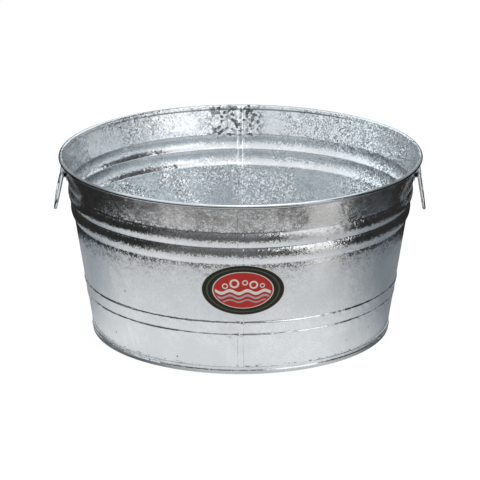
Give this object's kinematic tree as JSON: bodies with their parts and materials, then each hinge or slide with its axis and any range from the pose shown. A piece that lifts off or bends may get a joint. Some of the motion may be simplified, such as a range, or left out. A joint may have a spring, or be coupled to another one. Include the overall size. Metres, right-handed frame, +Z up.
{
  "type": "washing tub",
  "caption": "Round tapered wash tub of galvanised sheet steel with a rolled rim, swaged beads and a swinging wire handle on each side.",
  "frame": {"origin": "centre of the tub's base, on the surface it stands on", "axes": "+Z up along the tub's axis; the front seam and label face -Y; the handles are at +X and -X"},
  "size_m": [0.5861, 0.572, 0.2836],
  "materials": {
    "galvanised_sheet": "hot-dip zinc with soft spangle",
    "galvanised_wire": "zinc-coated wire",
    "galvanised_bottom": "hot-dip zinc with soft spangle",
    "galvanised_ear": "hot-dip zinc over pressed plate",
    "galvanised_handle": "bright zinc-coated wire",
    "printed_label": "gloss print on paper"
  },
  "bodies": {
    "tub": {"left_wall_sheet": "galvanised_sheet", "right_wall_sheet": "galvanised_sheet", "rim_wire": "galvanised_wire", "bottom_pan": "galvanised_bottom", "left_ear": "galvanised_ear", "right_ear": "galvanised_ear", "front_label": "printed_label"},
    "left_drop_handle": {"left_handle": "galvanised_handle"},
    "right_drop_handle": {"right_handle": "galvanised_handle"}
  },
  "joints": [
    {"name": "right_handle_swing", "type": "hinge", "parent": "tub", "child": "right_drop_handle", "pos_m": [0.27877, -0.00852, 0.259], "axis": [-0.0305, -0.9995, 0], "range_deg": [-19, 154]},
    {"name": "left_handle_swing", "type": "hinge", "parent": "tub", "child": "left_drop_handle", "pos_m": [-0.27877, -0.00852, 0.259], "axis": [-0.0305, 0.9995, 0], "range_deg": [-22, 151]}
  ]
}
